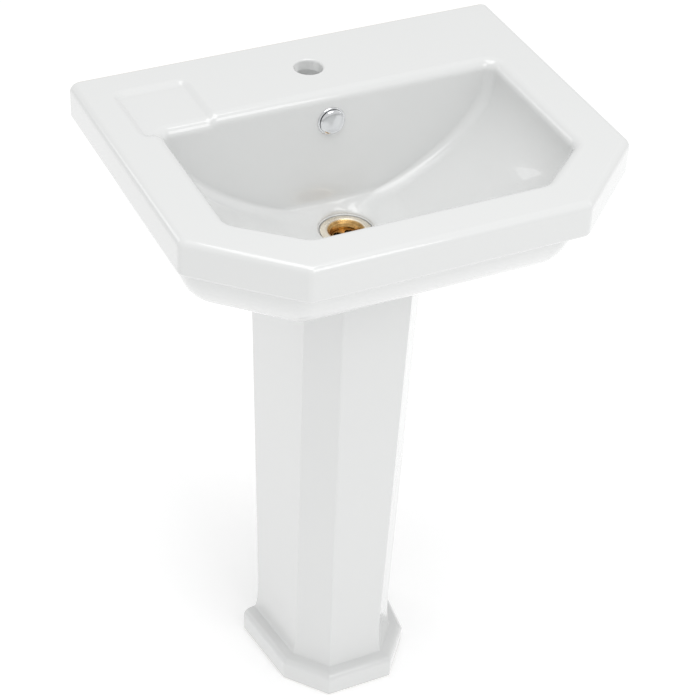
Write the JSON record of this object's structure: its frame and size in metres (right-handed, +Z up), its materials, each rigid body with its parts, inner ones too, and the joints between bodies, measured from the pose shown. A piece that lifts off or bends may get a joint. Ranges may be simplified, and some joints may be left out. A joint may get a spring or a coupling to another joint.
{
  "type": "pedestal sink",
  "caption": "White vitreous china wash basin with cut front corners, a stepped rim and a soap recess, on a faceted pedestal, with its brass waste and bottle trap.",
  "frame": {"origin": "on the floor, under the middle of the basin's outline", "axes": "+Z up, +Y towards the wall the sink stands against, +X to the right of someone facing it"},
  "size_m": [0.56, 0.45, 0.85],
  "materials": {
    "glaze": "smooth white gloss glaze over vitreous china",
    "brass": "polished, unplated",
    "chrome": "bright chrome plate",
    "steel": "zinc plated",
    "rubber": "plain moulded black rubber",
    "nylon": "natural white nylon",
    "bedding": "white silicone bedding strip"
  },
  "bodies": {
    "sink": {"basin": "glaze", "pedestal": "glaze", "bedding_strip": "bedding", "overflow_cover": "chrome", "overflow_clip": "nylon", "waste_body": "brass", "waste_strainer": "brass", "waste_top_gasket": "rubber", "waste_under_gasket": "rubber", "waste_slip_washer": "nylon", "waste_backnut": "brass", "trap_inlet_nut": "chrome", "trap_inlet_seal": "rubber", "trap_inlet_tube": "chrome", "trap_neck_nut": "chrome", "trap_neck_seal": "rubber", "trap_body": "chrome", "trap_outlet_nut": "chrome", "trap_outlet_seal": "rubber", "waste_pipe": "chrome", "wall_flange": "chrome", "wall_bolt_left": "steel", "bolt_sleeve_left": "nylon", "bolt_washer_left": "steel", "bolt_nut_left": "steel", "wall_bolt_right": "steel", "bolt_sleeve_right": "nylon", "bolt_washer_right": "steel", "bolt_nut_right": "steel"},
    "cup_carrier": {"trap_cup_seal": "rubber"},
    "cup": {"trap_cup": "chrome"}
  },
  "joints": [
    {"name": "cup_drop", "type": "slide", "parent": "sink", "child": "cup_carrier", "axis": [0, 0, -1], "range_m": [0, 0.0102]},
    {"name": "cup_turn", "type": "hinge", "parent": "cup_carrier", "child": "cup", "pos_m": [0, 0.038, 0.4898], "axis": [0, 0, -1], "range_deg": [0, 900]}
  ],
  "couplings": [
    {"joint": "cup_drop", "follows": "cup_turn", "m_per_rad": 0.00063662}
  ]
}
